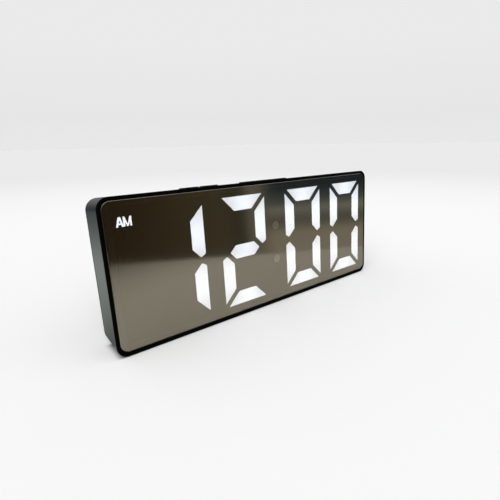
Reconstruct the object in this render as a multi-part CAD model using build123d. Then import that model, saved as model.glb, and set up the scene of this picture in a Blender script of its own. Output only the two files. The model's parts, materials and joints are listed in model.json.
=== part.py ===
from build123d import *
import math
import os

# A slim digital desk clock: a tapered black case, a smoked half-mirror lens flush with its bezel,
# four seven-segment digits behind the lens and five keys on the top edge.
# Every size is in millimetres and every angle in degrees.
# The pieces are drawn upright on the clock's face: X to the right, Y back from the face, Z up the face
# from its lower edge, with X zero on the middle of the case. At the end the clock is tipped back by
# its taper, so that it stands flat on its underside, and its origin goes to the middle of the footprint.

# Case
case_width = 160.0
case_height = 62.7
case_depth = 17.6
case_taper = 3.8
case_corner_radius = 4.85
case_wall = 1.8
cover_thickness = 1.8
front_edge_round = 0.35
rear_edge_round = 0.5
seam_round = 0.15
side_bezel = 1.48
top_bezel = 1.42
bottom_bezel = 1.95

# Lens and the tape that holds it on the ledge
lens_thickness = 1.5
lens_stand = 0.1
lens_chamfer = 0.3
lens_corner_radius = 3.6
lens_gap = 0.08
tape_thickness = 0.15
tape_width = 1.2
tape_margin = 0.15

# Ledge behind the lens, and the window inside it
ledge_thickness = 1.2
ledge_left = 3.4
ledge_right = 1.5
ledge_top = 2.2
ledge_bottom = 2.0
window_corner_radius = 1.5

# Black film with the clear windows of the display
film_thickness = 0.15
film_air = 0.2
film_edge_gap = 0.15

# Digits: places and widths are shares of the case's width, heights are shares of its height, and the
# segments' own sizes are shares of the digit's width
digit_width_share = 0.16625
digit_height_share = 0.823
digit_pitch_share = 0.2206
colon_to_digit_share = 0.126
colon_place_share = 0.04125
digit_drop = 0.575
segment_width_share = 0.2444
segment_gap_share = 0.0883
joint_inset_share = 0.1064
joint_tip_share = 0.0925
joint_shoulder_share = 0.0545
colon_spacing_share = 0.338
colon_radius_share = 0.0805
colon_rise = 0.22

# The AM sign
sign_left = 6.76
sign_drop = 6.58
sign_height = 3.75
letter_a_width = 3.1
letter_a_apex = 1.05
letter_a_foot = 0.85
letter_a_bar_base = 0.8
letter_a_bar_top = 1.45
letter_m_width = 3.35
letter_m_stem = 0.75
letter_m_stroke = 0.66
letter_overlap = 0.18
sign_pocket_margin = 0.5

# Light frame: pockets for the diffusers, wells down to the light emitters
frame_front_gap = 0.05
frame_window_gap = 0.2
frame_wall_gap = 0.5
diffuser_thickness = 1.0
diffuser_margin = 0.3
diffuser_gap = 0.1
well_step = 0.5
corner_notch_gap = 0.25
frame_pilot_share = 0.8

# Board and its light emitters
board_thickness = 1.6
rear_room = 6.85
emitter_length = 2.0
emitter_width = 1.25
emitter_height = 0.8
emitter_spread = 8.4

# Screws
screw_core_radius = 0.66
screw_pilot_radius = 0.7
screw_clearance_radius = 0.95
screw_head_radius = 1.5
screw_head_height = 0.9
screw_cross_width = 0.4
screw_cross_length = 1.8
screw_cross_depth = 0.5
cover_screw_length = 6.0
screw_tip_gap = 1.0
head_recess_radius = 1.75
head_recess_depth = 1.1
boss_radius = 1.8
boss_inset = 3.9
boss_pilot_depth = 7.0
board_screw_height_shares = [0.13, 0.77]

# Lips and clamp posts inside the rear cover
lip_height = 1.5
lip_thickness = 1.0
lip_gap = 0.12
lip_corner_gap = 4.0
post_radius = 1.8
post_gap = 0.1
post_side_inset = 13.0
post_end_inset = 9.0

# Keys on the top edge
key_names = ["mode", "set", "down", "up", "light"]
key_width = 7.9
key_depth = 3.5
key_stand = 0.42
key_gap = 0.12
key_edge_round = 0.25
key_pitch = 10.45
left_keys_share = -0.224
left_keys_count = 2
right_keys_share = -0.0162
key_flange_reach = 0.8
key_flange_thickness = 0.8
key_flange_gap = 0.05
key_travel = 0.4

# Side-push switches under the keys
switch_width = 6.0
switch_depth = 4.0
switch_height = 3.9
switch_drop = 1.2
stem_radius = 0.9
stem_gap = 0.08
stem_engagement = 1.0
stem_floor_gap = 0.2

# Power inlet
inlet_width = 8.94
inlet_height = 3.26
inlet_wall = 0.3
inlet_stand_back = 0.35
inlet_opening_gap = 0.2
inlet_base_length = 1.6
inlet_tongue_width = 6.7
inlet_tongue_thickness = 0.7
inlet_tongue_short = 0.8
inlet_foot_width = 1.0
inlet_foot_reach = 1.2
inlet_foot_thickness = 0.3

# Coin cell, its holder and contacts
cell_radius = 10.0
cell_thickness = 3.2
cell_rim_chamfer = 0.3
holder_gap = 0.15
holder_wall = 1.15
holder_base = 1.2
holder_wall_height = 3.0
holder_cut_width = 8.0
contact_thickness = 0.25
minus_contact_length = 14.0
minus_contact_width = 4.0
plus_contact_width = 5.0
plus_contact_gap = 0.05
plus_contact_rise = 0.15
plus_contact_reach = 1.6

# Bayonet door over the coin cell
door_radius = 11.6
door_rim_thickness = 0.9
door_hub_radius = 10.4
door_lug_radius = 11.5
door_lug_thickness = 0.9
door_lug_angle = 24.0
door_lug_count = 3
door_lug_start = 90.0
door_notch_spare_angle = 3.0
door_turn = 40.0
door_gap = 0.15
door_slot_length = 14.0
door_slot_width = 1.6
door_slot_depth = 0.5

# Buzzer and its sound holes
buzzer_radius = 4.75
buzzer_height = 4.6
buzzer_mouth_radius = 0.9
buzzer_mouth_depth = 0.8
sound_hole_radius = 0.6
sound_ring_radius = 2.6
sound_ring_count = 6

# Parts soldered on the rear of the board
solder_gap = 0.1
chip_height = 2.2
chip_body_width = 7.5
chip_pin_pitch = 1.27
chip_pin_width = 0.42
chip_pin_reach = 1.35
chip_pin_thickness = 0.8
controller_length = 17.9
driver_length = 15.4
crystal_radius = 1.0
crystal_length = 6.0
crystal_lead_radius = 0.15
crystal_lead_spread = 0.7
crystal_lead_length = 1.5
capacitor_radius = 2.5
capacitor_height = 4.6
capacitor_base_size = 5.3
capacitor_base_height = 0.8
regulator_length = 4.5
regulator_width = 2.5
regulator_height = 1.5
small_part_length = 2.0
small_part_width = 1.25
small_part_height = 0.6
small_part_pitch = 3.4
resistor_count = 4
capacitor_count = 3

# Places on the board, as shares of the case's width from its middle and of its height from below
place_shares = {
    "inlet": (0.3813, 0.2472),
    "cell": (0.2063, 0.4466),
    "buzzer": (-0.1125, 0.3987),
    "controller": (-0.3125, 0.5423),
    "driver": (-0.3125, 0.2552),
    "crystal": (-0.2125, 0.6858),
    "capacitor": (0.3813, 0.4785),
    "regulator": (0.3813, 0.638),
    "resistors": (-0.025, 0.2552),
    "capacitors": (-0.025, 0.327),
}

# One overrun for all cuts, and two angles
overrun = 1.0
full_turn = 360.0
quarter_turn = 90.0

# Depths of the layers behind the face
taper_slope = math.tan(math.radians(case_taper))
lens_rear = lens_thickness - lens_stand
lens_seat = lens_rear + tape_thickness
ledge_rear = lens_seat + ledge_thickness
film_front = lens_rear + film_air
frame_front = film_front + film_thickness
seam = case_depth - cover_thickness
board_rear = seam - rear_room
frame_rear = board_rear - board_thickness
frame_pilot_depth = (frame_rear - frame_front) * frame_pilot_share
board_screw_length = board_thickness + frame_pilot_depth - screw_tip_gap

# Edges of the lens and of the window behind it
half_width = case_width / 2
lens_left = side_bezel - half_width
lens_right = half_width - side_bezel
lens_low = bottom_bezel
lens_high = case_height - top_bezel
window_left = lens_left + ledge_left
window_right = lens_right - ledge_right
window_low = lens_low + ledge_bottom
window_high = lens_high - ledge_top

# Places and sizes that follow the case
digit_width = case_width * digit_width_share
digit_height = case_height * digit_height_share
digit_pitch = case_width * digit_pitch_share
colon_to_digit = case_width * colon_to_digit_share
colon_x = case_width * colon_place_share
digit_middle = (lens_low + lens_high) / 2 - digit_drop
segment_width = digit_width * segment_width_share
segment_gap = digit_width * segment_gap_share
joint_inset = digit_width * joint_inset_share
joint_tip_inset = digit_width * joint_tip_share
joint_shoulder_rise = digit_width * joint_shoulder_share
colon_spacing = digit_height * colon_spacing_share
colon_radius = digit_width * colon_radius_share
sign_base = lens_high - sign_drop - sign_height
left_keys_x = case_width * left_keys_share
right_keys_x = case_width * right_keys_share
places = {name: (case_width * across, case_height * up) for name, (across, up) in place_shares.items()}
inlet_x, inlet_z = places["inlet"]
cell_x, cell_z = places["cell"]
buzzer_x, buzzer_z = places["buzzer"]
crystal_x, crystal_z = places["crystal"]


def panel(left, right, low, high, radius, grow=0):
    # A rounded rectangle between four edges, grown or shrunk all round
    outline = RectangleRounded(right - left + 2 * grow, high - low + 2 * grow, radius + grow)
    return Pos((left + right) / 2, (low + high) / 2) * outline


def slab(outline, front, rear):
    # An outline drawn on the face, as a solid from one depth to another
    return extrude(Plane.XZ.offset(-front) * outline, amount=rear - front, dir=(0, 1, 0))


def disc(x, z, radius, front, rear):
    return slab(Pos(x, z) * Circle(radius), front, rear)


def block(x, z, width, height, front, rear):
    return slab(Pos(x, z) * Rectangle(width, height), front, rear)


def tapered(front, rear, inset):
    # The case's tapered form between two depths, drawn in by an inset from its outside: one wedge for
    # the side walls and one for the walls above and below, kept where they cross
    def wedge(size):
        half_front = size / 2 - inset - front * taper_slope
        half_rear = size / 2 - inset - rear * taper_slope
        return Polygon((-half_front, front), (half_front, front), (half_rear, rear), (-half_rear, rear),
                       align=None)

    side_walls = extrude(wedge(case_width), amount=case_height, both=True)
    level_walls = Rot(Y=quarter_turn) * extrude(wedge(case_height), amount=case_width, both=True)
    body = Pos(0, 0, case_height / 2) * (side_walls & level_walls)
    corner_edges = [edge for edge in body.edges() if edge.bounding_box().size.Y > (rear - front) / 2]
    return fillet(corner_edges, case_corner_radius - inset)


def ring(count, start=0):
    # The angles of some things spread evenly round a circle
    return [start + full_turn / count * turn for turn in range(count)]


def corners(inset):
    # The four places at one inset from the face's edges
    return [(x, z) for x in (inset - half_width, half_width - inset) for z in (inset, case_height - inset)]


# Segment outlines, as (x, z) points from a digit's middle

half_digit = digit_width / 2
half_digit_height = digit_height / 2
half_segment = segment_width / 2
mitre = segment_gap / math.sqrt(2)
joint_line = half_digit - joint_inset + mitre
joint_tip = half_digit - joint_tip_inset


def bar_outline(up):
    # Segment a, or d with up at minus one: a bar mitred at both ends
    outer = half_digit - mitre
    inner = outer - segment_width
    high = half_digit_height
    low = high - segment_width
    return [(-outer, up * high), (outer, up * high), (inner, up * low), (-inner, up * low)]


def upright_outline(side, up):
    # Segments b, c, e and f: mitred at the digit's corner, pointed at the digit's middle
    inner = half_digit - segment_width
    top = half_digit_height - mitre
    tip_z = joint_line - joint_tip
    points = [(half_digit, top), (half_digit, tip_z + joint_shoulder_rise), (joint_tip, tip_z),
              (inner, joint_line - inner), (inner, top - segment_width)]
    return [(side * x, up * z) for x, z in points]


def middle_outline():
    # Segment g: a bar pointed at both ends
    tip = half_digit - joint_inset - mitre
    shoulder = tip - half_segment
    return [(-tip, 0), (-shoulder, half_segment), (shoulder, half_segment),
            (tip, 0), (shoulder, -half_segment), (-shoulder, -half_segment)]


segment_points = {
    "a": bar_outline(1),
    "b": upright_outline(1, 1),
    "c": upright_outline(1, -1),
    "d": bar_outline(-1),
    "e": upright_outline(-1, -1),
    "f": upright_outline(-1, 1),
    "g": middle_outline(),
}
# Where the light emitters of a segment lie: its middle, and whether it stands upright
emitter_x = half_digit - half_segment
emitter_z = half_digit_height / 2
segment_middles = {
    "a": (0, half_digit_height - half_segment, False),
    "b": (emitter_x, emitter_z, True),
    "c": (emitter_x, -emitter_z, True),
    "d": (0, half_segment - half_digit_height, False),
    "e": (-emitter_x, -emitter_z, True),
    "f": (-emitter_x, emitter_z, True),
    "g": (0, 0, False),
}
# Each digit: its name, its place along the face and the segments that are lit
digits = [
    ("hour_tens", colon_x - colon_to_digit - digit_pitch, "bc"),
    ("hour_units", colon_x - colon_to_digit, "abged"),
    ("minute_tens", colon_x + colon_to_digit, "abcdef"),
    ("minute_units", colon_x + colon_to_digit + digit_pitch, "abcdef"),
]
colon_middle = digit_middle + colon_rise
colon_places = [(colon_x, colon_middle + side * colon_spacing / 2) for side in (1, -1)]


def segment(name, digit_x, grow=0):
    # One segment's outline in its digit, grown or shrunk with sharp corners
    outline = Polygon(*segment_points[name], align=None)
    if grow:
        outline = offset(outline, amount=grow, kind=Kind.INTERSECTION)
    return Pos(digit_x, digit_middle) * outline


def all_segments(grow=0):
    return [segment(name, digit_x, grow) for _, digit_x, _ in digits for name in segment_points]


# The two letters of the AM sign

sign_x = sign_left - half_width
letter_m_x = sign_x + letter_a_width - letter_overlap
sign_right = letter_m_x + letter_m_width


def letter_a():
    # Two legs that lean together, joined by a bar, with the small triangle above the bar left out
    middle = letter_a_width / 2
    lean = (middle - letter_a_apex / 2) / sign_height

    def left_inner(z):
        return letter_a_foot + z * lean

    def right_inner(z):
        return letter_a_width - letter_a_foot - z * lean

    outline = Polygon(
        (0, 0), (middle - letter_a_apex / 2, sign_height), (middle + letter_a_apex / 2, sign_height),
        (letter_a_width, 0), (letter_a_width - letter_a_foot, 0),
        (right_inner(letter_a_bar_base), letter_a_bar_base),
        (left_inner(letter_a_bar_base), letter_a_bar_base), (letter_a_foot, 0), align=None)
    peak = (middle - letter_a_foot) / lean
    eye = Polygon((left_inner(letter_a_bar_top), letter_a_bar_top), (middle, peak),
                  (right_inner(letter_a_bar_top), letter_a_bar_top), align=None)
    return Pos(sign_x, sign_base) * (outline - eye)


def letter_m():
    # Two stems, and between them a wedge that comes down to the base line
    middle = letter_m_width / 2
    fall = sign_height / (middle - letter_m_stroke / 2)
    stroke_rise = letter_m_stroke * fall
    valley = stroke_rise - letter_m_stroke / 2 * fall
    inner_top = sign_height - (letter_m_stem - letter_m_stroke) * fall - stroke_rise
    outline = Polygon(
        (0, 0), (0, sign_height), (letter_m_stem, sign_height), (middle, valley),
        (letter_m_width - letter_m_stem, sign_height), (letter_m_width, sign_height),
        (letter_m_width, 0), (letter_m_width - letter_m_stem, 0),
        (letter_m_width - letter_m_stem, inner_top), (middle + letter_m_stroke / 2, 0),
        (middle - letter_m_stroke / 2, 0), (letter_m_stem, inner_top), (letter_m_stem, 0), align=None)
    return Pos(letter_m_x, sign_base) * outline


# Key places

keys_x = [left_keys_x + key_pitch * place for place in range(left_keys_count)]
keys_x += [right_keys_x + key_pitch * place for place in range(len(key_names) - left_keys_count)]
key_y = board_rear + switch_depth / 2
key_front = key_y - key_depth / 2
key_rear = key_y + key_depth / 2


def outside_top(depth):
    return case_height - depth * taper_slope


key_foot = outside_top(key_rear) - case_wall - key_flange_gap - key_flange_thickness
switch_top = key_foot - switch_drop
switch_low = switch_top - switch_height


def screw(x, z, head_seat, length):
    # A pan head screw driven in from behind, its head resting at head_seat
    head_rear = head_seat + screw_head_height
    body = disc(x, z, screw_head_radius, head_seat, head_rear)
    body += disc(x, z, screw_core_radius, head_seat - length, head_seat)
    cross = block(x, z, screw_cross_length, screw_cross_width, head_rear - screw_cross_depth, head_rear)
    cross += block(x, z, screw_cross_width, screw_cross_length, head_rear - screw_cross_depth, head_rear)
    return body - cross


# Case and front

def front_housing():
    shell = tapered(0, seam, 0)
    shell = fillet(shell.faces().sort_by(Axis.Y)[0].outer_wire().edges(), front_edge_round)
    shell = fillet(shell.faces().sort_by(Axis.Y)[-1].outer_wire().edges(), seam_round)
    shell -= slab(panel(lens_left, lens_right, lens_low, lens_high, lens_corner_radius, lens_gap),
                  0, lens_seat)
    shell -= slab(panel(window_left, window_right, window_low, window_high, window_corner_radius),
                  0, ledge_rear)
    shell -= tapered(ledge_rear, seam, case_wall)
    for x, z in corners(boss_inset):
        shell += disc(x, z, boss_radius, ledge_rear, seam)
    for x, z in corners(boss_inset):
        shell -= disc(x, z, screw_pilot_radius, seam - boss_pilot_depth, seam)
    for x in keys_x:
        slot = Box(key_width + 2 * key_gap, key_depth + 2 * key_gap, case_wall + 2 * overrun)
        shell -= Pos(x, key_y, outside_top(key_y) - case_wall / 2) * slot
    return shell


def mirror_lens():
    outline = panel(lens_left, lens_right, lens_low, lens_high, lens_corner_radius)
    lens = slab(outline, -lens_stand, lens_rear)
    return chamfer(lens.faces().sort_by(Axis.Y)[0].edges(), lens_chamfer)


def lens_tape():
    edges = (lens_left, lens_right, lens_low, lens_high, lens_corner_radius)
    return slab(panel(*edges, -tape_margin) - panel(*edges, -tape_margin - tape_width), lens_rear, lens_seat)


def segment_film():
    outline = panel(window_left, window_right, window_low, window_high, window_corner_radius, -film_edge_gap)
    film = slab(outline, film_front, frame_front)
    for window in all_segments() + [letter_a(), letter_m()]:
        film -= slab(window, film_front, frame_front)
    for x, z in colon_places:
        film -= disc(x, z, colon_radius, film_front, frame_front)
    return film


# Display

sign_panel = (sign_x - sign_pocket_margin, sign_right + sign_pocket_margin,
              sign_base - sign_pocket_margin, sign_base + sign_height + sign_pocket_margin)
pocket_rear = frame_front + diffuser_thickness


def rectangle_between(left, right, low, high, grow=0):
    return Pos((left + right) / 2, (low + high) / 2) * Rectangle(right - left + 2 * grow, high - low + 2 * grow)


def corner_notches(front, rear):
    # Square bites out of the four corners that clear the screw bosses
    reach = boss_inset + boss_radius + corner_notch_gap
    bite = RectangleRounded(2 * reach, 2 * reach, boss_radius + corner_notch_gap)
    return [slab(Pos(x, z) * bite, front, rear) for x, z in corners(0)]


board_screw_step = colon_to_digit + digit_pitch / 2
board_screw_places = [(colon_x + side * board_screw_step, case_height * share) for side in (-1, 0, 1)
                      for share in board_screw_height_shares]
frame_inset = case_wall + frame_wall_gap + board_rear * taper_slope
frame_edges = (frame_inset - half_width, half_width - frame_inset, frame_inset, case_height - frame_inset)


def light_frame():
    raised = panel(window_left, window_right, window_low, window_high, window_corner_radius, -frame_window_gap)
    frame = slab(raised, frame_front, frame_rear)
    frame += slab(rectangle_between(*frame_edges), ledge_rear + frame_front_gap, frame_rear)
    pocket_grow = diffuser_margin + diffuser_gap
    well_grow = diffuser_margin - well_step
    for pocket in all_segments(pocket_grow):
        frame -= slab(pocket, frame_front, pocket_rear)
    for well in all_segments(well_grow):
        frame -= slab(well, pocket_rear, frame_rear)
    for x, z in colon_places:
        frame -= disc(x, z, colon_radius + pocket_grow, frame_front, pocket_rear)
        frame -= disc(x, z, colon_radius + well_grow, pocket_rear, frame_rear)
    frame -= slab(rectangle_between(*sign_panel, diffuser_gap), frame_front, pocket_rear)
    frame -= slab(rectangle_between(*sign_panel, -well_step), pocket_rear, frame_rear)
    for notch in corner_notches(frame_front, frame_rear):
        frame -= notch
    for x, z in board_screw_places:
        frame -= disc(x, z, screw_pilot_radius, frame_rear - frame_pilot_depth, frame_rear)
    return frame


def diffusers(names, digit_x):
    solids = [slab(segment(name, digit_x, diffuser_margin), frame_front, pocket_rear) for name in names]
    return Compound(children=[part for part in solids])


def colon_diffusers():
    return Compound(children=[disc(x, z, colon_radius + diffuser_margin, frame_front, pocket_rear)
                              for x, z in colon_places])


def am_indicator():
    return slab(rectangle_between(*sign_panel), frame_front, pocket_rear)


def display_board():
    board = slab(rectangle_between(*frame_edges), frame_rear, board_rear)
    for notch in corner_notches(frame_rear, board_rear):
        board -= notch
    for x, z in board_screw_places:
        board -= disc(x, z, screw_clearance_radius, frame_rear, board_rear)
    return board


def emitter(x, z, upright):
    length, width = (emitter_width, emitter_length) if upright else (emitter_length, emitter_width)
    return block(x, z, length, width, frame_rear - emitter_height, frame_rear)


def segment_leds():
    # Two light emitters along each segment
    emitters = []
    for _, digit_x, _ in digits:
        for x, z, upright in segment_middles.values():
            for side in (1, -1):
                along = side * emitter_spread / 2
                step_x, step_z = (0, along) if upright else (along, 0)
                emitters.append(emitter(digit_x + x + step_x, digit_middle + z + step_z, upright))
    return Compound(children=emitters)


def indicator_leds():
    left, right, low, high = sign_panel
    middles = colon_places + [((left + right) / 2, (low + high) / 2)]
    return Compound(children=[emitter(x, z, False) for x, z in middles])


def board_screws():
    return Compound(children=[screw(x, z, board_rear, board_screw_length) for x, z in board_screw_places])


# Electronics on the rear of the board

seat = board_rear + solder_gap


def chip(x, z, length):
    return block(x, z, length, chip_body_width, seat, seat + chip_height)


def chip_pins(x, z, length):
    # Two rows of flat pins, as many as the chip's length takes, from the board up to the chip's middle
    pins = []
    side_pins = int(length / chip_pin_pitch)
    row_z = (chip_body_width + chip_pin_reach) / 2
    for pin in range(side_pins):
        pin_x = x + (pin - (side_pins - 1) / 2) * chip_pin_pitch
        for side in (1, -1):
            pins.append(block(pin_x, z + side * row_z, chip_pin_width, chip_pin_reach,
                              board_rear, board_rear + chip_pin_thickness))
    return pins


def chip_leads():
    return Compound(children=chip_pins(*places["controller"], controller_length)
                    + chip_pins(*places["driver"], driver_length))


def clock_crystal():
    # A small can lying on the board, with two leads that bend down to it
    axis_y = seat + crystal_radius
    can = Pos(crystal_x, axis_y, crystal_z) * Rot(Y=quarter_turn) * Cylinder(crystal_radius, crystal_length)
    lead_x = crystal_x + crystal_length / 2
    for side in (1, -1):
        lead_z = crystal_z + side * crystal_lead_spread / 2
        middle_x = lead_x + crystal_lead_length / 2
        run = Pos(middle_x, axis_y, lead_z) * Box(crystal_lead_length, 2 * crystal_lead_radius,
                                                  2 * crystal_lead_radius)
        drop = block(lead_x + crystal_lead_length - crystal_lead_radius, lead_z, 2 * crystal_lead_radius,
                     2 * crystal_lead_radius, board_rear, axis_y)
        can += run + drop
    return can


def smoothing_capacitor():
    front = board_rear + capacitor_base_height
    return disc(*places["capacitor"], capacitor_radius, front, front + capacitor_height)


def capacitor_base():
    return block(*places["capacitor"], capacitor_base_size, capacitor_base_size,
                 board_rear, board_rear + capacitor_base_height)


def voltage_regulator():
    return block(*places["regulator"], regulator_length, regulator_width,
                 board_rear, board_rear + regulator_height)


def small_parts(x, z, count):
    # A row of small soldered blocks
    return Compound(children=[
        block(x + place * small_part_pitch, z, small_part_width, small_part_length,
              board_rear, board_rear + small_part_height) for place in range(count)])


def buzzer():
    rear = board_rear + buzzer_height
    can = disc(buzzer_x, buzzer_z, buzzer_radius, board_rear, rear)
    return can - disc(buzzer_x, buzzer_z, buzzer_mouth_radius, rear - buzzer_mouth_depth, rear)


def inlet_outline(grow):
    return RectangleRounded(inlet_width + 2 * grow, inlet_height + 2 * grow, inlet_height / 2 + grow - inlet_wall)


inlet_mouth = case_depth - inlet_stand_back


def usb_inlet_shell():
    shell = slab(Pos(inlet_x, inlet_z) * (inlet_outline(0) - inlet_outline(-inlet_wall)), board_rear, inlet_mouth)
    foot_x = (inlet_width + inlet_foot_reach) / 2 - inlet_wall
    for side in (1, -1):
        shell += block(inlet_x + side * foot_x, inlet_z, inlet_foot_reach, inlet_foot_width,
                       board_rear, board_rear + inlet_foot_thickness)
    return shell


def usb_inlet_insert():
    base = slab(Pos(inlet_x, inlet_z) * inlet_outline(-inlet_wall), board_rear, board_rear + inlet_base_length)
    return base + block(inlet_x, inlet_z, inlet_tongue_width, inlet_tongue_thickness,
                        board_rear, inlet_mouth - inlet_tongue_short)


# Coin cell

cell_front = board_rear + holder_base + contact_thickness
cell_rear = cell_front + cell_thickness
holder_inner = cell_radius + holder_gap
holder_outer = holder_inner + holder_wall


def coin_cell_holder():
    # A shallow cup with a gap in its wall for the plus contact
    rear = board_rear + holder_base + holder_wall_height
    cup = disc(cell_x, cell_z, holder_outer, board_rear, rear)
    cup -= disc(cell_x, cell_z, holder_inner, board_rear + holder_base, rear)
    cut = block(cell_x, cell_z + holder_inner, holder_cut_width, 2 * holder_wall, board_rear, rear)
    return cup - cut


def coin_cell():
    cell = disc(cell_x, cell_z, cell_radius, cell_front, cell_rear)
    return chamfer(cell.edges().filter_by(GeomType.CIRCLE), cell_rim_chamfer)


def cell_contact_negative():
    return block(cell_x, cell_z, minus_contact_width, minus_contact_length,
                 board_rear + holder_base, board_rear + holder_base + contact_thickness)


def cell_contact_positive():
    # A leaf that rises beside the cell and folds over its rear face
    low_z = cell_z + cell_radius + plus_contact_gap
    lip_front = cell_rear + plus_contact_rise
    leaf = block(cell_x, low_z + contact_thickness / 2, plus_contact_width, contact_thickness,
                 board_rear, lip_front + contact_thickness)
    lip_z = low_z + contact_thickness - plus_contact_reach / 2
    return leaf + block(cell_x, lip_z, plus_contact_width, plus_contact_reach,
                        lip_front, lip_front + contact_thickness)


# Rear cover and the door in it

door_seat = case_depth - door_rim_thickness - door_gap
lug_rear = seam - door_gap
lug_front = lug_rear - door_lug_thickness
lug_angles = ring(door_lug_count, door_lug_start)


def sector(radius, angle, spread, front, rear):
    # A slice of a disc about the cell's axis, centred on an angle
    reach = 2 * radius
    half = math.radians(spread / 2)
    wedge = Polygon((0, 0), (reach * math.cos(half), -reach * math.sin(half)),
                    (reach * math.cos(half), reach * math.sin(half)), align=None)
    return slab(Pos(cell_x, cell_z) * Rot(Z=angle) * (Circle(radius) & wedge), front, rear)


def coin_cell_door():
    door = disc(cell_x, cell_z, door_radius, case_depth - door_rim_thickness, case_depth)
    door += disc(cell_x, cell_z, door_hub_radius, lug_front, case_depth - door_rim_thickness)
    for angle in lug_angles:
        door += sector(door_lug_radius, angle, door_lug_angle, lug_front, lug_rear)
    slot = block(cell_x, cell_z, door_slot_length, door_slot_width, case_depth - door_slot_depth, case_depth)
    return door - slot


def cover_lips():
    # Four bars that slip inside the case's walls and keep the cover in line
    inset = case_wall + lip_gap + seam * taper_slope
    half_length = half_width - inset
    reach = boss_inset + boss_radius + lip_corner_gap
    lips = []
    for side in (1, -1):
        lips.append(block(side * (half_length - lip_thickness / 2), case_height / 2, lip_thickness,
                          case_height - 2 * reach, seam - lip_height, seam))
    for z in (inset + lip_thickness / 2, case_height - inset - lip_thickness / 2):
        lips.append(block(0, z, case_width - 2 * reach, lip_thickness, seam - lip_height, seam))
    return lips


def clamp_posts():
    # Posts that hold the board and the light frame forward against the ledge
    x = half_width - post_side_inset
    feet = [(side * x, z) for side in (1, -1) for z in (post_end_inset, case_height - post_end_inset)]
    return [disc(x, z, post_radius, board_rear + post_gap, seam) for x, z in feet]


def rear_cover():
    cover = tapered(seam, case_depth, 0)
    cover = fillet(cover.faces().sort_by(Axis.Y)[-1].outer_wire().edges(), rear_edge_round)
    cover = fillet(cover.faces().sort_by(Axis.Y)[0].outer_wire().edges(), seam_round)
    for part in cover_lips() + clamp_posts():
        cover += part
    for x, z in corners(boss_inset):
        cover -= disc(x, z, screw_clearance_radius, seam, case_depth)
        cover -= disc(x, z, head_recess_radius, case_depth - head_recess_depth, case_depth)
    cover -= slab(Pos(inlet_x, inlet_z) * inlet_outline(inlet_opening_gap), seam, case_depth)
    cover -= disc(cell_x, cell_z, door_radius + door_gap, door_seat, case_depth)
    cover -= disc(cell_x, cell_z, door_hub_radius + door_gap, seam, door_seat)
    for angle in lug_angles:
        cover -= sector(door_lug_radius + door_gap, angle - door_turn,
                        door_lug_angle + door_notch_spare_angle, seam, door_seat)
    cover -= disc(buzzer_x, buzzer_z, sound_hole_radius, seam, case_depth)
    for angle in ring(sound_ring_count):
        turn = math.radians(angle)
        cover -= disc(buzzer_x + sound_ring_radius * math.cos(turn), buzzer_z + sound_ring_radius * math.sin(turn),
                      sound_hole_radius, seam, case_depth)
    return cover


def cover_screws():
    head_seat = case_depth - head_recess_depth
    return Compound(children=[screw(x, z, head_seat, cover_screw_length) for x, z in corners(boss_inset)])


# Keys and their switches

def key(x):
    # A cap that stands out of the top wall, and a flange under the wall that keeps it in
    cap_box = Pos(x, key_y, key_foot + case_height / 2) * Box(key_width, key_depth, case_height)
    cap = cap_box & tapered(0, seam, -key_stand)
    cap = fillet(cap.faces().sort_by(Axis.Z)[-1].edges(), key_edge_round)
    flange_box = Pos(x, key_y, key_foot + case_height / 2) * Box(
        key_width + 2 * key_flange_reach, key_depth, case_height)
    return cap + (flange_box & tapered(0, seam, case_wall + key_flange_gap))


def switch_stem(x):
    length = switch_drop + stem_engagement
    return Pos(x, key_y, key_foot - length / 2) * Cylinder(stem_radius, length)


def key_switches():
    bodies = []
    bore_depth = stem_engagement + key_travel + stem_floor_gap
    for x in keys_x:
        body = Pos(x, key_y, switch_low + switch_height / 2) * Box(switch_width, switch_depth, switch_height)
        bore = Pos(x, key_y, switch_top - bore_depth / 2) * Cylinder(stem_radius + stem_gap, bore_depth)
        bodies.append(body - bore)
    return Compound(children=bodies)


parts = {
    "front_housing": front_housing(),
    "rear_cover": rear_cover(),
    "mirror_lens": mirror_lens(),
    "lens_tape": lens_tape(),
    "segment_film": segment_film(),
    "light_frame": light_frame(),
    "colon_diffusers": colon_diffusers(),
    "am_indicator": am_indicator(),
    "display_board": display_board(),
    "segment_leds": segment_leds(),
    "indicator_leds": indicator_leds(),
    "board_screws": board_screws(),
    "cover_screws": cover_screws(),
    "microcontroller": chip(*places["controller"], controller_length),
    "led_driver": chip(*places["driver"], driver_length),
    "chip_leads": chip_leads(),
    "clock_crystal": clock_crystal(),
    "smoothing_capacitor": smoothing_capacitor(),
    "capacitor_base": capacitor_base(),
    "voltage_regulator": voltage_regulator(),
    "chip_resistors": small_parts(*places["resistors"], resistor_count),
    "chip_capacitors": small_parts(*places["capacitors"], capacitor_count),
    "buzzer": buzzer(),
    "usb_inlet_shell": usb_inlet_shell(),
    "usb_inlet_insert": usb_inlet_insert(),
    "coin_cell_holder": coin_cell_holder(),
    "coin_cell": coin_cell(),
    "cell_contact_negative": cell_contact_negative(),
    "cell_contact_positive": cell_contact_positive(),
    "coin_cell_door": coin_cell_door(),
    "key_switches": key_switches(),
}
for digit_name, digit_x, lit in digits:
    dark = [name for name in segment_points if name not in lit]
    parts[digit_name + "_lit_segments"] = diffusers(lit, digit_x)
    parts[digit_name + "_dark_segments"] = diffusers(dark, digit_x)
for key_name, key_x in zip(key_names, keys_x):
    parts[key_name + "_key"] = key(key_x)
    parts[key_name + "_switch_stem"] = switch_stem(key_x)

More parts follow.
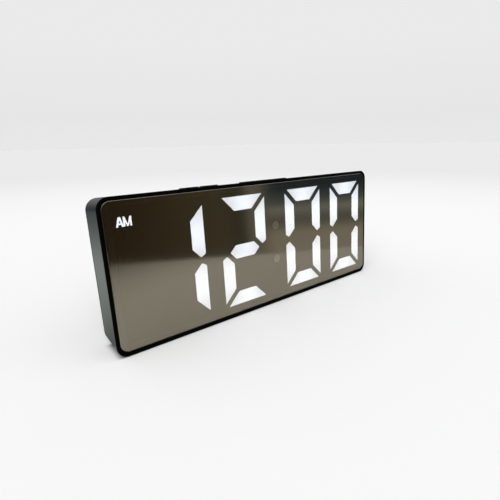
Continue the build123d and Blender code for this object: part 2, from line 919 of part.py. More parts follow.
# Tip the clock back by its taper, so that its underside lies flat, and move its origin to the middle
# of the box that it fills, on the surface that it stands on
tip_back = Rot(X=-case_taper)
boxes = [(tip_back * parts[name]).bounding_box() for name in ("front_housing", "rear_cover")]
footprint_middle = (min(box.min.Y for box in boxes) + max(box.max.Y for box in boxes)) / 2
placing = Pos(0, -footprint_middle, -min(box.min.Z for box in boxes)) * tip_back

os.makedirs("parts", exist_ok=True)
for name, part in parts.items():
    export_step(placing * part, os.path.join("parts", name + ".step"))
axis_up = Vector(0, 0, 1).rotate(Axis.X, -case_taper)
axis_back = Vector(0, 1, 0).rotate(Axis.X, -case_taper)
door_place = placing * Pos(cell_x, case_depth, cell_z)
inlet_place = placing * Pos(inlet_x, case_depth, inlet_z)
print("up the face", tuple(axis_up), "back from the face", tuple(axis_back))
print("door axis through", tuple(door_place.position), "inlet mouth", tuple(inlet_place.position))
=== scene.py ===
import json
import math
import bpy
import numpy as np
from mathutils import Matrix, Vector


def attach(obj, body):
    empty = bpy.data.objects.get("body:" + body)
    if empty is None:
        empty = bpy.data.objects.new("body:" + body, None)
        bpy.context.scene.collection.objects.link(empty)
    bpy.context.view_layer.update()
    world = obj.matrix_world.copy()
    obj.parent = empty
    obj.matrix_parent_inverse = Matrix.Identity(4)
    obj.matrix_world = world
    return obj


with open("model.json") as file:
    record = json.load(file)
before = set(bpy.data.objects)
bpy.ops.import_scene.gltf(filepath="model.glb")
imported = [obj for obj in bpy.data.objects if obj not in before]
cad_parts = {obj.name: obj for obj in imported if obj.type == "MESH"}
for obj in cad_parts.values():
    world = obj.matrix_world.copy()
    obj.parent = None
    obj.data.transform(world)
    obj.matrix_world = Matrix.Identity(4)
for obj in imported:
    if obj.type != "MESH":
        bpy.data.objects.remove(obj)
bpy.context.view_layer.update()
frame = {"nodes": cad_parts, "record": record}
print("frame loaded:", len(frame["nodes"]), "nodes")

mm = 0.001  # one millimetre in metres
leanBack = math.radians(3.8)  # the clock stands on its tapered underside, so its face leans back

# A Mix node's sockets have the same names for every kind of data, so they are found by their numbers
floatA, floatB = 2, 3
colourA, colourB, colourResult = 6, 7, 2


# Small helpers for colours and node trees

def hexToLinear(text, alpha=1.0):
    # sRGB curve: below 0.04045 divide by 12.92, above it raise to 2.4
    parts = [int(text[i:i + 2], 16) / 255 for i in (1, 3, 5)]
    return tuple(p / 12.92 if p <= 0.04045 else ((p + 0.055) / 1.055) ** 2.4 for p in parts) + (alpha,)


def perMetre(sizeMm):
    # a pattern's Scale: how often one of this size fits into a metre
    return 1 / (sizeMm * mm)


def addNode(tree, kind, settings=None, links=None):
    # adds one node, sets its properties or input values, and links its inputs from other sockets
    node = tree.nodes.new(kind)
    for key, value in (settings or {}).items():
        if isinstance(key, str) and hasattr(node, key) and key not in node.inputs:
            setattr(node, key, value)
        else:
            node.inputs[key].default_value = value
    for key, source in (links or {}).items():
        tree.links.new(source, node.inputs[key])
    return node


def newMaterial(name):
    material = bpy.data.materials.new(name)
    material.use_nodes = True
    material.node_tree.nodes.clear()
    tree = material.node_tree
    place = addNode(tree, "ShaderNodeTexCoord").outputs["Object"]
    return material, tree, place


def finishMaterial(tree, shader):
    addNode(tree, "ShaderNodeOutputMaterial", links={"Surface": shader.outputs[0]})


grainHeight = 0.25  # a grain stands this share of its width high


def grainedPlastic(name, look):
    # a moulded plastic: two close shades in slow clouds, and the mould's spark-eroded grain as bump. The real
    # grain is about 0.04 mm wide and wouldn't show, so each look gives it a coarser grainMm
    material, tree, place = newMaterial(name)
    cloud = addNode(tree, "ShaderNodeTexNoise", {"Scale": perMetre(look["cloudMm"]), "Detail": 2.0},
                    {"Vector": place})
    colour = addNode(tree, "ShaderNodeMix", {"data_type": "RGBA", colourA: hexToLinear(look["dark"]),
                                            colourB: hexToLinear(look["light"])}, {0: cloud.outputs["Fac"]})
    grain = addNode(tree, "ShaderNodeTexNoise", {"Scale": perMetre(look["grainMm"]), "Detail": 3.0},
                    {"Vector": place})
    bump = addNode(tree, "ShaderNodeBump", {"Strength": look["bump"],
                                            "Distance": look["grainMm"] * mm * grainHeight},
                   {"Height": grain.outputs["Fac"]})
    shine = addNode(tree, "ShaderNodeMapRange", {"To Min": look["roughness"] - look["spread"],
                                                 "To Max": look["roughness"] + look["spread"]},
                    {"Value": cloud.outputs["Fac"]})
    shader = addNode(tree, "ShaderNodeBsdfPrincipled",
                     {"IOR": look.get("ior", 1.5), "Specular IOR Level": look.get("specular", 0.5)},
                     {"Base Color": colour.outputs[colourResult], "Roughness": shine.outputs[0],
                      "Normal": bump.outputs[0]})
    finishMaterial(tree, shader)
    return material


def platedMetal(name, look):
    # plated or rolled metal: fine marks, drawn out along the axes whose share is small, that change its colour
    # and its shine. Real ones are about 0.02 mm wide; they are drawn at grainMm so that they show
    material, tree, place = newMaterial(name)
    stretch = addNode(tree, "ShaderNodeMapping", {"Scale": look["lineStretch"]}, {"Vector": place})
    lines = addNode(tree, "ShaderNodeTexNoise", {"Scale": perMetre(look["grainMm"]), "Detail": 3.0},
                    {"Vector": stretch.outputs[0]})
    colour = addNode(tree, "ShaderNodeMix", {"data_type": "RGBA", colourA: hexToLinear(look["dark"]),
                                            colourB: hexToLinear(look["light"])}, {0: lines.outputs["Fac"]})
    shine = addNode(tree, "ShaderNodeMapRange", {"To Min": look["roughness"] - look["spread"],
                                                 "To Max": look["roughness"] + look["spread"]},
                    {"Value": lines.outputs["Fac"]})
    shader = addNode(tree, "ShaderNodeBsdfPrincipled", {"Metallic": 1.0},
                     {"Base Color": colour.outputs[colourResult], "Roughness": shine.outputs[0]})
    finishMaterial(tree, shader)
    return material


# Places on the face, worked out from Object coordinates: how deep a point lies behind the front plane and
# how far up the face it is, in millimetres

faceAtMm = -10.8167  # where the front plane of the case meets the floor


def faceAxis(tree, place, alongY, alongZ):
    # the point's Y and Z, each times its share, counted from the foot of the front plane
    fromFoot = addNode(tree, "ShaderNodeVectorMath", {"operation": "SUBTRACT", 1: (0.0, faceAtMm * mm, 0.0)},
                       {0: place})
    along = addNode(tree, "ShaderNodeVectorMath",
                    {"operation": "DOT_PRODUCT", 1: (0.0, alongY / mm, alongZ / mm)}, {0: fromFoot.outputs[0]})
    return along.outputs["Value"]


# Half-mirror lens: smoked acrylic sheet, cast, laser-cut and vacuum-coated with a thin metal film. It gives
# back a fifth of the light as a warm, slightly soft mirror image and lets the lit figures through. Its cut
# edge is frosted and catches a fine light line, and the clear body behind the coat adds nothing. The sheet's
# own waviness, about 60 mm long, makes the image softer in places

lensLook = {"coat": "#979288", "cover": 0.70,  # the coated face, and the share of the light that it stops
            "edge": "#94918A", "edgeCover": 0.95,  # the same for the frosted edge
            "waveMm": 60.0, "leastRoughness": 0.045, "mostRoughness": 0.135,
            "coatDepthMm": -0.09, "edgeDepthMm": 0.21}  # the coated face, then the edge, reach down to here


def halfMirrorAcrylic():
    material, tree, place = newMaterial("halfMirrorAcrylic")
    wave = addNode(tree, "ShaderNodeTexNoise", {"Scale": perMetre(lensLook["waveMm"]), "Detail": 1.0},
                   {"Vector": place})
    shine = addNode(tree, "ShaderNodeMapRange", {"To Min": lensLook["leastRoughness"],
                                                 "To Max": lensLook["mostRoughness"]},
                    {"Value": wave.outputs["Fac"]})
    depth = faceAxis(tree, place, math.cos(leanBack), -math.sin(leanBack))
    onCoat = addNode(tree, "ShaderNodeMath", {"operation": "LESS_THAN", 1: lensLook["coatDepthMm"]}, {0: depth})
    onEdge = addNode(tree, "ShaderNodeMath", {"operation": "LESS_THAN", 1: lensLook["edgeDepthMm"]}, {0: depth})
    edgeCover = addNode(tree, "ShaderNodeMath", {"operation": "MULTIPLY", 1: lensLook["edgeCover"]},
                        {0: onEdge.outputs[0]})
    cover = addNode(tree, "ShaderNodeMix", {"data_type": "FLOAT", floatB: lensLook["cover"]},
                    {0: onCoat.outputs[0], floatA: edgeCover.outputs[0]})
    colour = addNode(tree, "ShaderNodeMix", {"data_type": "RGBA", colourA: hexToLinear(lensLook["edge"]),
                                            colourB: hexToLinear(lensLook["coat"])}, {0: onCoat.outputs[0]})
    shader = addNode(tree, "ShaderNodeBsdfPrincipled", {"Metallic": 1.0},
                     {"Base Color": colour.outputs[colourResult], "Roughness": shine.outputs[0],
                      "Alpha": cover.outputs[0]})
    finishMaterial(tree, shader)
    return material


# Case: black ABS, injection-moulded with a fine spark-eroded grain. Its satin walls are black from before
# and turn grey at a grazing look, where they give back the pale room

caseLook = {"dark": "#171819", "light": "#1D1E1F", "cloudMm": 25.0, "grainMm": 0.25, "bump": 0.12,
            "roughness": 0.3, "spread": 0.03, "ior": 1.53}

# Lit diffusers: frosted acrylic (PMMA with scattering filler), moulded, over two white light emitters each.
# A segment glows cool white, evenly in its middle, and fades toward its tips, which lie about the corners and
# the middle line of its digit. The filler's slow clouds, 7 mm wide, keep it from looking flat

litLook = {"body": "#E8ECF2", "roughness": 0.6, "colour": "#F1F6FF", "strength": 2.85, "signStrength": 3.2,
           "tipGlow": 0.80, "tipFromMm": 1.5, "tipToMm": 9.5,  # a tip's share of the glow, and where it fades
           "lowGlow": 0.90, "lowFadeMm": 4.75,  # the same for the lower half, about the digit's middle line
           "cloud": 0.04, "cloudMm": 7.0,
           # across: the colon, the middle of two digits from it, a digit's from that, an upright's from that
           "colonMm": 6.6, "betweenMm": 37.808, "halfPitchMm": 17.648, "columnMm": 10.05,
           "middleMm": 31.04, "rowMm": 22.55}  # up: a digit's middle line, and the next row from it


def litFrostedAcrylic(name, strength):
    # the distance across to the nearest upright of a digit is folded three times, about the colon, between the
    # two digits beside it and about a digit's middle; the distance up is folded about the digit's three rows
    material, tree, place = newMaterial(name)
    across = addNode(tree, "ShaderNodeVectorMath", {"operation": "DOT_PRODUCT", 1: (1 / mm, 0.0, 0.0)},
                     {0: place}).outputs["Value"]
    for centre in ("colonMm", "betweenMm", "halfPitchMm", "columnMm"):
        gap = addNode(tree, "ShaderNodeMath", {"operation": "SUBTRACT", 1: litLook[centre]}, {0: across})
        across = addNode(tree, "ShaderNodeMath", {"operation": "ABSOLUTE"}, {0: gap.outputs[0]}).outputs[0]
    up = faceAxis(tree, place, math.sin(leanBack), math.cos(leanBack))
    fromMiddle = addNode(tree, "ShaderNodeMath", {"operation": "SUBTRACT", 1: litLook["middleMm"]}, {0: up})
    fromRow = addNode(tree, "ShaderNodeMath", {"operation": "PINGPONG", 1: litLook["rowMm"] / 2},
                      {0: fromMiddle.outputs[0]})
    away = addNode(tree, "ShaderNodeCombineXYZ", links={0: across, 1: fromRow.outputs[0]})
    distance = addNode(tree, "ShaderNodeVectorMath", {"operation": "LENGTH"}, {0: away.outputs[0]})
    tips = addNode(tree, "ShaderNodeMapRange",
                   {"interpolation_type": "SMOOTHSTEP",
                    "From Min": litLook["tipFromMm"], "From Max": litLook["tipToMm"],
                    "To Min": litLook["tipGlow"] * strength, "To Max": strength},
                   {"Value": distance.outputs["Value"]})
    rows = addNode(tree, "ShaderNodeMapRange",
                   {"From Min": -litLook["lowFadeMm"], "From Max": litLook["lowFadeMm"],
                    "To Min": litLook["lowGlow"], "To Max": 1.0}, {"Value": fromMiddle.outputs[0]})
    cloud = addNode(tree, "ShaderNodeTexNoise", {"Scale": perMetre(litLook["cloudMm"]), "Detail": 1.0},
                    {"Vector": place})
    patches = addNode(tree, "ShaderNodeMapRange",
                      {"To Min": 1 - litLook["cloud"], "To Max": 1 + litLook["cloud"]},
                      {"Value": cloud.outputs["Fac"]})
    glow = tips
    for part in (rows, patches):
        glow = addNode(tree, "ShaderNodeMath", {"operation": "MULTIPLY"},
                       {0: glow.outputs[0], 1: part.outputs[0]})
    shader = addNode(tree, "ShaderNodeBsdfPrincipled",
                     {"Base Color": hexToLinear(litLook["body"]), "Roughness": litLook["roughness"],
                      "Emission Color": hexToLinear(litLook["colour"])},
                     {"Emission Strength": glow.outputs[0]})
    finishMaterial(tree, shader)
    return material


plasticLooks = {
    # Rear cover and door: black ABS, injection-moulded with a coarser spark-eroded grain, so it looks matt and
    # dark grey, with broad soft highlights
    "coverAbs": {"dark": "#232425", "light": "#2A2B2C", "cloudMm": 25.0, "grainMm": 0.3, "bump": 0.25,
                 "roughness": 0.5, "spread": 0.05},
    # Keys: black ABS, injection-moulded, a shade darker than the case and dull, so they hardly show
    "keyAbs": {"dark": "#101011", "light": "#161617", "cloudMm": 6.0, "grainMm": 0.25, "bump": 0.15,
               "roughness": 0.5, "spread": 0.04, "specular": 0.2},
    # Lens tape: black closed-cell foam with glue on both sides, die-cut; it swallows nearly all light
    "blackFoamTape": {"dark": "#030303", "light": "#060606", "cloudMm": 2.0, "grainMm": 0.2, "bump": 0.6,
                      "roughness": 0.9, "spread": 0.05, "specular": 0.04},
    # Film behind the lens: polyester sheet, screen-printed in matt black round clear windows; very dark
    "printedBlackFilm": {"dark": "#030303", "light": "#050505", "cloudMm": 30.0, "grainMm": 0.5, "bump": 0.02,
                         "roughness": 0.8, "spread": 0.05, "specular": 0.03},
    # Light frame: ABS with white pigment, injection-moulded; bright and dull, to throw light forward
    "whiteFrameAbs": {"dark": "#D2D2CF", "light": "#DEDEDB", "cloudMm": 15.0, "grainMm": 0.3, "bump": 0.1,
                      "roughness": 0.55, "spread": 0.05},
    # Unlit diffusers: the same frosted acrylic as the lit ones, behind smoked film with no light in them, in a
    # painted shade:
    # near black in place of that missing light, so they look as black as the film beside them
    "frostedAcrylicPaintedShade": {"dark": "#0B0B0B", "light": "#0E0E0E", "cloudMm": 8.0, "grainMm": 0.3, "bump": 0.1,
                           "roughness": 0.6, "spread": 0.05, "specular": 0.05},
    # Unlit colon: frosted acrylic, moulded, in clear windows; pale enough to show as two faint dots
    "colonAcrylic": {"dark": "#A2A39E", "light": "#AAABA6", "cloudMm": 3.0, "grainMm": 0.3, "bump": 0.1,
                     "roughness": 0.6, "spread": 0.05},
    # Board: glass-fibre epoxy laminate under green solder mask, printed and cured; deep green and semi-gloss
    "solderMask": {"dark": "#12341F", "light": "#174428", "cloudMm": 4.0, "grainMm": 0.4, "bump": 0.08,
                   "roughness": 0.32, "spread": 0.05},
    # Light emitters: white moulded nylon with yellow phosphor gel, a creamy half-gloss
    "ledMoulding": {"dark": "#E4DFC4", "light": "#EEE9D0", "cloudMm": 0.6, "grainMm": 0.1, "bump": 0.05,
                    "roughness": 0.4, "spread": 0.1},
    # Chips: black epoxy, transfer-moulded in a sand-blasted mould; dark grey and dull
    "chipEpoxy": {"dark": "#161617", "light": "#202021", "cloudMm": 1.2, "grainMm": 0.12, "bump": 0.3,
                  "roughness": 0.55, "spread": 0.08},
    # Holder, buzzer, switch boxes and inlet insert: black glass-filled nylon, injection-moulded; dull black
    "blackNylon": {"dark": "#131313", "light": "#1B1B1B", "cloudMm": 4.0, "grainMm": 0.2, "bump": 0.15,
                   "roughness": 0.5, "spread": 0.06},
    # Small capacitors: barium titanate ceramic, fired in layers; an even tan with a slight gloss
    "tanCeramic": {"dark": "#7C5D3C", "light": "#8E6C47", "cloudMm": 0.5, "grainMm": 0.1, "bump": 0.1,
                   "roughness": 0.35, "spread": 0.08},
    # Switch stems: natural white nylon, injection-moulded; off-white and waxy
    "whiteNylon": {"dark": "#C9C9C4", "light": "#D4D4CF", "cloudMm": 2.0, "grainMm": 0.2, "bump": 0.1,
                   "roughness": 0.45, "spread": 0.05},
}
metalLooks = {
    # Board screws: steel, cold-formed and zinc-plated; light grey with a soft uneven shine
    "zincPlatedSteel": {"dark": "#A9A9A6", "light": "#C4C4C2", "grainMm": 0.3, "lineStretch": (1, 1, 1),
                        "roughness": 0.32, "spread": 0.08},
    # Cover screws: steel, cold-formed and blackened in hot salt; near black with a dim shine
    "blackOxideSteel": {"dark": "#1C1C1D", "light": "#2C2C2E", "grainMm": 0.3, "lineStretch": (1, 1, 1),
                        "roughness": 0.42, "spread": 0.1},
    # Chip leads and crystal can: copper alloy and steel, stamped and tin-plated; bright soft silver
    "tinnedMetal": {"dark": "#B4B4B2", "light": "#CFCFCD", "grainMm": 0.3, "lineStretch": (1, 1, 1),
                    "roughness": 0.28, "spread": 0.08},
    # Capacitor can: aluminium, deep-drawn, so fine lines run up its wall; pale silver
    "drawnAluminium": {"dark": "#BDBDBF", "light": "#D2D2D4", "grainMm": 0.2, "lineStretch": (8, 1, 8),
                       "roughness": 0.3, "spread": 0.06},
    # Inlet shell and cell contacts: spring steel, stamped and nickel-plated; warm silver with rolled lines
    "nickelPlatedSteel": {"dark": "#A7A39B", "light": "#C2BEB5", "grainMm": 0.25, "lineStretch": (1, 6, 6),
                          "roughness": 0.26, "spread": 0.07},
    # Coin cell: stainless steel, stamped and brushed along its length; cool light silver
    "cellSteel": {"dark": "#B9B9B7", "light": "#CECECC", "grainMm": 0.2, "lineStretch": (6, 1, 1),
                  "roughness": 0.3, "spread": 0.06},
}
slotFinishes = {
    "case_plastic": grainedPlastic("mouldedCaseAbs", caseLook), "smoked_lens": halfMirrorAcrylic(),
    "lit_diffuser": litFrostedAcrylic("litFrostedAcrylic", litLook["strength"]),
}
plasticSlots = {"cover_plastic": "coverAbs", "key_plastic": "keyAbs", "black_tape": "blackFoamTape",
                "black_film": "printedBlackFilm", "white_frame_plastic": "whiteFrameAbs",
                "dark_diffuser": "frostedAcrylicPaintedShade", "board_laminate": "solderMask",
                "led_body": "ledMoulding", "chip_epoxy": "chipEpoxy", "black_nylon": "blackNylon",
                "tan_ceramic": "tanCeramic", "stem_plastic": "whiteNylon"}
metalSlots = {"screw_steel": "zincPlatedSteel", "black_screw_steel": "blackOxideSteel",
              "tinned_metal": "tinnedMetal", "capacitor_can": "drawnAluminium",
              "nickel_shell": "nickelPlatedSteel", "cell_steel": "cellSteel"}
for slotName, finish in plasticSlots.items():
    slotFinishes[slotName] = grainedPlastic(finish, plasticLooks[finish])
for slotName, finish in metalSlots.items():
    slotFinishes[slotName] = platedMetal(finish, metalLooks[finish])
ownFinishes = {"colon_diffusers": grainedPlastic("colonAcrylic", plasticLooks["colonAcrylic"]),
               "am_indicator": litFrostedAcrylic("litSignAcrylic", litLook["signStrength"])}
nodeSlots = {entry["node"]: entry["material_slot"] for entry in frame["record"]["subparts"]}
for nodeName, node in frame["nodes"].items():
    finish = ownFinishes.get(nodeName, slotFinishes[nodeSlots[nodeName]])
    node.data.materials.clear()
    node.data.materials.append(finish)
print("finishes made:", len(slotFinishes) + len(ownFinishes))


def onFace(across, depth, up):
    # the clock is drawn upright on its face in millimetres, then tipped back and set down in metres
    lean, low = math.cos(leanBack), math.sin(leanBack)
    return np.stack([across, depth * lean + up * low + faceAtMm, up * lean - depth * low], -1) * mm


def roundedOutline(left, right, low, high, radius, steps):
    # quarter circles about the four corners' centres, joined by the straight edges between them
    turn = np.linspace(0, math.pi / 2, steps)
    angles = np.concatenate([turn + quarter * math.pi / 2 for quarter in range(4)])
    middleX = np.repeat([right - radius, left + radius, left + radius, right - radius], steps)
    middleZ = np.repeat([high - radius, high - radius, low + radius, low + radius], steps)
    return middleX + radius * np.cos(angles), middleZ + radius * np.sin(angles)


def closedGrid(name, points, finish):
    # a grid of points that closes on itself both ways, as a mesh of quads that rides on the case
    rows, columns = points.shape[:2]
    index = np.arange(rows * columns).reshape(rows, columns)
    nextRow, nextColumn = np.roll(index, -1, 0), np.roll(index, -1, 1)
    quads = np.stack([index, nextRow, np.roll(nextRow, -1, 1), nextColumn], -1)
    mesh = bpy.data.meshes.new(name)
    mesh.from_pydata(points.reshape(-1, 3).tolist(), [], quads.reshape(-1, 4).tolist())
    mesh.shade_smooth()
    mesh.materials.append(finish)
    piece = bpy.data.objects.new(name, mesh)
    bpy.context.scene.collection.objects.link(piece)
    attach(piece, "clock_body")


# Front rim: matt black ink, screen-printed over the rim and its rounded edge. It gives back almost no light,
# so it frames the lens as the blackest thing on the clock

rimLook = {"dark": "#030303", "light": "#060606", "cloudMm": 12.0, "grainMm": 0.2, "bump": 0.05,
           "roughness": 0.6, "spread": 0.05, "specular": 0.015,
           # the rest in mm: the case's front, its rounded edge, and the ink's reach, height and hidden back
           "halfWide": 80.0, "high": 62.7, "corner": 4.85, "round": 0.35, "wallDepth": 0.5, "coat": 0.01,
           "sunk": 0.07, "cornerSteps": 14, "roundSteps": 7,
           "pocket": (-78.6, 78.6, 1.87, 61.36, 3.68)}  # left, right, low, high and corner of the lens's pocket


def inkedRim():
    # a thin closed profile carried round the rim: flat from the lens to the rounded edge, an arc over that
    # edge, a step down the wall, and the same way back a little below the surface. The walls lean in, so the
    # arc turns through a right angle and the lean, and its centre lies a little further in than its radius
    look = rimLook
    turn = np.linspace(0, math.pi / 2 + leanBack, look["roundSteps"])
    centre = look["round"] * (1 / math.cos(leanBack) + math.tan(leanBack))

    def over(lift):
        reachOut = look["round"] + lift
        inset = np.append(centre - reachOut * np.sin(turn), look["wallDepth"] * math.tan(leanBack) - lift)
        depth = np.append(look["round"] - reachOut * np.cos(turn), look["wallDepth"])
        return inset, depth

    outerInset, outerDepth = over(look["coat"])
    innerInset, innerDepth = over(-look["sunk"])
    insets = np.concatenate([outerInset, innerInset[::-1]])
    depths = np.concatenate([outerDepth, innerDepth[::-1]])
    left, right, low, high, corner = look["pocket"]
    pocketX, pocketZ = roundedOutline(left, right, low, high, corner, look["cornerSteps"])
    rows = [onFace(pocketX, np.full_like(pocketX, -look["coat"]), pocketZ)]
    for inset, depth in zip(insets, depths):
        x, z = roundedOutline(inset - look["halfWide"], look["halfWide"] - inset, inset, look["high"] - inset,
                              look["corner"] - inset, look["cornerSteps"])
        rows.append(onFace(x, np.full_like(x, depth), z))
    rows.append(onFace(pocketX, np.full_like(pocketX, look["sunk"]), pocketZ))
    closedGrid("rimInk", np.stack(rows), grainedPlastic("screenPrintedBlackInk", look))


inkedRim()
print("rim inked")


# Stage: a pale floor that the camera sees, and a pale sheet that the mirror sees, which ends before
# the clock along a slanting line. Each is paler near a point on it and darkens away from there: a painted pool
# of light

# near and far, with nearM and farM: the colours and reach of the painted pool of light about middleM
floorLook = {"near": "#F5F5F5", "far": "#E6E6E6", "nearM": 0.25, "farM": 0.95, "middleM": (0, 0, 0),
             "heightM": -0.0002, "reachM": 6.0}
sheetLook = {"near": "#F3F0E3", "far": "#8E8C7C", "nearM": 0.15, "farM": 0.30, "middleM": (0.06, 0.04, 0),
             "heightM": -0.0001,
             "edgeMm": [(-300, 0), (-300, -90), (-70, -275), (-14, -223), (51, -155), (97, -104), (141, -66),
                        (220, 0)]}

# Painted shade where the case stands: half the length that touches the paper, and the strip's middle and half
# width
footLook = {"halfLongMm": 75.15, "middleMm": -3.1, "halfWideMm": 6.1, "fadeMm": 2.0, "shade": 0.2,
            "shadeFromMm": 1.5, "shadeToMm": 5.6}


def footShade(tree, place):
    # a painted shade in the paper's colour: under the round lower corners and along the foot little light
    # reaches the paper, so its share grows with the distance past either end of the foot, and is whole before
    # and behind the strip that the foot covers
    foot = (footLook["halfLongMm"] * mm, footLook["halfWideMm"] * mm, 0)
    middle = addNode(tree, "ShaderNodeVectorMath",
                     {"operation": "SUBTRACT", 1: (0, footLook["middleMm"] * mm, 0)}, {0: place})
    away = addNode(tree, "ShaderNodeVectorMath", {"operation": "ABSOLUTE"}, {0: middle.outputs[0]})
    past = addNode(tree, "ShaderNodeVectorMath", {"operation": "SUBTRACT", 1: foot}, {0: away.outputs[0]})
    parts = addNode(tree, "ShaderNodeSeparateXYZ", links={0: past.outputs[0]})
    pastEnd = addNode(tree, "ShaderNodeMapRange", {"interpolation_type": "SMOOTHSTEP",
                                                   "From Min": footLook["shadeFromMm"] * mm,
                                                   "From Max": footLook["shadeToMm"] * mm,
                                                   "To Min": footLook["shade"]}, {"Value": parts.outputs["X"]})
    pastSide = addNode(tree, "ShaderNodeMapRange", {"interpolation_type": "SMOOTHSTEP",
                                                    "From Max": footLook["fadeMm"] * mm},
                       {"Value": parts.outputs["Y"]})
    return addNode(tree, "ShaderNodeMix", {"data_type": "FLOAT", floatB: 1.0},
                   {0: pastSide.outputs[0], floatA: pastEnd.outputs[0]}).outputs[0]


def stagePlate(name, corners, look):
    mesh = bpy.data.meshes.new(name)
    mesh.from_pydata([(x, y, look["heightM"]) for x, y in corners], [], [list(range(len(corners)))])
    plate = bpy.data.objects.new(name, mesh)
    bpy.context.scene.collection.objects.link(plate)
    material, tree, place = newMaterial(name + "Paper")
    distance = addNode(tree, "ShaderNodeVectorMath", {"operation": "DISTANCE", 1: look["middleM"]}, {0: place})
    away = addNode(tree, "ShaderNodeMapRange", {"interpolation_type": "SMOOTHSTEP", "From Min": look["nearM"],
                                                "From Max": look["farM"]}, {"Value": distance.outputs["Value"]})
    colour = addNode(tree, "ShaderNodeMix", {"data_type": "RGBA", colourA: hexToLinear(look["near"]),
                                            colourB: hexToLinear(look["far"])}, {0: away.outputs[0]})
    # the paper's colour darkened by the painted shade at the foot
    shaded = addNode(tree, "ShaderNodeVectorMath", {"operation": "SCALE"},
                     {0: colour.outputs[colourResult], "Scale": footShade(tree, place)})
    finishMaterial(tree, addNode(tree, "ShaderNodeBsdfDiffuse", links={"Color": shaded.outputs[0]}))
    mesh.materials.append(material)
    return plate


reach = floorLook["reachM"]
floor = stagePlate("floor", [(-reach, -reach), (reach, -reach), (reach, reach), (-reach, reach)], floorLook)
floor.visible_glossy = False
sheet = stagePlate("mirroredSheet", [(x * mm, y * mm) for x, y in sheetLook["edgeMm"]], sheetLook)
sheet.visible_camera = False
sheet.visible_diffuse = False
sheet.visible_shadow = False

# World: an even dome of light; the camera sees a pale backdrop; mirrors see a dim room in front and a
# pale studio behind. Each list of stops has a height or bearing in degrees and its colour

worldLook = {"dome": "#FFFFFF", "domeStrength": 0.44,
             "backdrop": [(0, "#E8E8E8"), (3, "#E6E6E6"), (12, "#EAEAEA")],
             # the room's left part by bearing, which ends in a pale strip; its right part by height
             "roomLeft": [(-130, "#5C564A"), (-95, "#4A3D2E"), (-75, "#463829"), (-66, "#5A4E38"),
                          (-56, "#706852"), (-52.7, "#544F3D"), (-51.5, "#B2AF9D"), (-50.2, "#A19D8C")],
             "roomRight": [(-9.5, "#D4CBB7"), (-8.0, "#D6CEB9"), (-7.2, "#A19F8E"), (-6.3, "#7E7C6E"),
                           (-5.3, "#A9A79B"), (-4.6, "#D2D0C4"), (-3.8, "#76827F"), (-1.4, "#3A474E"),
                           (0, "#3C4A51")],
             "ceiling": "#F6F4EE", "ceilingFrom": 25, "ceilingTo": 65,
             "studio": [(-28, "#7C837A"), (-25, "#AFB6AD"), (-22.5, "#C6CFC8"), (-16.5, "#E8F1E9"),
                        (-14, "#BDC5BF"), (-9.6, "#737B7A"), (-8.8, "#4E585B"), (0, "#565859"),
                        (10, "#B0B2B2"), (25, "#FFFFFF")],
             # where the room's left part turns into its right (degrees), and the studio into the room (Y)
             "rightFrom": -50.5, "rightTo": -48.1, "frontFrom": -0.1, "frontTo": -0.35}


def rampOf(tree, source, stops):
    # a colour ramp over an angle in degrees; a new ramp has two stops, and the others are added
    low, high = stops[0][0], stops[-1][0]
    share = addNode(tree, "ShaderNodeMapRange", {"From Min": math.radians(low), "From Max": math.radians(high)},
                    {"Value": source})
    ramp = addNode(tree, "ShaderNodeValToRGB", links={"Fac": share.outputs[0]})
    points = ramp.color_ramp.elements
    for number, (angle, colour) in enumerate(stops):
        at = (angle - low) / (high - low)
        point = points[number] if number < 2 else points.new(at)
        point.position = at
        point.color = hexToLinear(colour)
    return ramp.outputs["Color"]


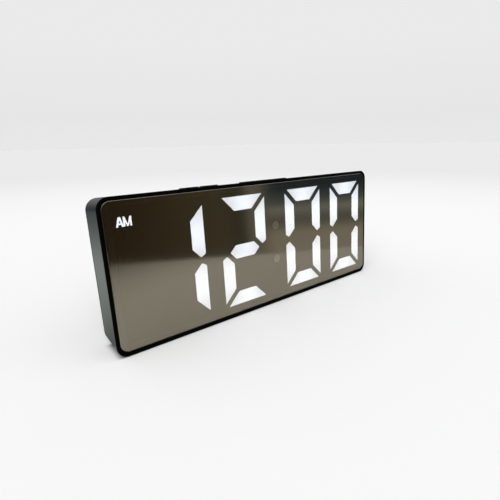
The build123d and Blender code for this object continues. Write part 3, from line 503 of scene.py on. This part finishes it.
def buildWorld():
    world = bpy.data.worlds.new("studio")
    bpy.context.scene.world = world
    world.use_nodes = True
    tree = world.node_tree
    tree.nodes.clear()
    ray = addNode(tree, "ShaderNodeLightPath")
    direction = addNode(tree, "ShaderNodeTexCoord").outputs["Generated"]
    parts = addNode(tree, "ShaderNodeSeparateXYZ", links={0: direction})
    bearing = addNode(tree, "ShaderNodeMath", {"operation": "ARCTAN2"},
                      {0: parts.outputs["Y"], 1: parts.outputs["X"]}).outputs[0]
    height = addNode(tree, "ShaderNodeMath", {"operation": "ARCSINE"}, {0: parts.outputs["Z"]}).outputs[0]
    toRight = addNode(tree, "ShaderNodeMapRange", {"interpolation_type": "SMOOTHSTEP",
                                                   "From Min": math.radians(worldLook["rightFrom"]),
                                                   "From Max": math.radians(worldLook["rightTo"])},
                      {"Value": bearing}).outputs[0]
    toFront = addNode(tree, "ShaderNodeMapRange", {"interpolation_type": "SMOOTHSTEP",
                                                   "From Min": worldLook["frontFrom"],
                                                   "From Max": worldLook["frontTo"]},
                      {"Value": parts.outputs["Y"]}).outputs[0]
    toCeiling = addNode(tree, "ShaderNodeMapRange", {"From Min": math.radians(worldLook["ceilingFrom"]),
                                                     "From Max": math.radians(worldLook["ceilingTo"])},
                        {"Value": height}).outputs[0]
    room = addNode(tree, "ShaderNodeMix", {"data_type": "RGBA"},
                   {0: toRight, colourA: rampOf(tree, bearing, worldLook["roomLeft"]),
                    colourB: rampOf(tree, height, worldLook["roomRight"])})
    roomAndCeiling = addNode(tree, "ShaderNodeMix",
                             {"data_type": "RGBA", colourB: hexToLinear(worldLook["ceiling"])},
                             {0: toCeiling, colourA: room.outputs[colourResult]})
    around = addNode(tree, "ShaderNodeMix", {"data_type": "RGBA"},
                     {0: toFront, colourA: rampOf(tree, height, worldLook["studio"]),
                      colourB: roomAndCeiling.outputs[colourResult]})
    seen = addNode(tree, "ShaderNodeBackground", links={"Color": rampOf(tree, height, worldLook["backdrop"])})
    mirrored = addNode(tree, "ShaderNodeBackground", links={"Color": around.outputs[colourResult]})
    dome = addNode(tree, "ShaderNodeBackground", {"Color": hexToLinear(worldLook["dome"]),
                                                  "Strength": worldLook["domeStrength"]})
    first = addNode(tree, "ShaderNodeMixShader", links={0: ray.outputs["Is Glossy Ray"], 1: dome.outputs[0],
                                                        2: mirrored.outputs[0]})
    last = addNode(tree, "ShaderNodeMixShader", links={0: ray.outputs["Is Camera Ray"], 1: first.outputs[0],
                                                       2: seen.outputs[0]})
    addNode(tree, "ShaderNodeOutputWorld", links={"Surface": last.outputs[0]})


buildWorld()

# Lamps: one strong soft light from the front left, and two weak ones that open up the shadows
sunLooks = [
    {"name": "frontSun", "from": (-0.7, -0.7, 1.0), "strength": 1.97, "spreadDegrees": 60},
    {"name": "backSun", "from": (-0.7, 0.7, 1.0), "strength": 0.37, "spreadDegrees": 60},
    {"name": "rightSun", "from": (0.7, -0.7, 1.0), "strength": 0.33, "spreadDegrees": 60},
]
for look in sunLooks:
    light = bpy.data.lights.new(look["name"], "SUN")
    light.energy = look["strength"]
    light.angle = math.radians(look["spreadDegrees"])
    lamp = bpy.data.objects.new(look["name"], light)
    bpy.context.scene.collection.objects.link(lamp)
    lamp.rotation_euler = (-Vector(look["from"])).to_track_quat("-Z", "Y").to_euler()
    lamp.visible_glossy = False

# Camera: solved from the four corners of the face in the photo
cameraLook = {"placeMm": (-120.76, -143.50, 81.10), "turnDegrees": (73.809, 0.924, -39.149), "lensMm": 27.24,
              "sensorMm": 36, "clipStartM": 0.005}
cameraData = bpy.data.cameras.new("camera")
cameraData.lens = cameraLook["lensMm"]
cameraData.sensor_width = cameraLook["sensorMm"]
cameraData.clip_start = cameraLook["clipStartM"]
camera = bpy.data.objects.new("camera", cameraData)
bpy.context.scene.collection.objects.link(camera)
camera.location = Vector(cameraLook["placeMm"]) * mm
camera.rotation_euler = [math.radians(angle) for angle in cameraLook["turnDegrees"]]
bpy.context.scene.camera = camera
bpy.context.scene.view_settings.view_transform = "Standard"
print("stage, lamps and camera set")
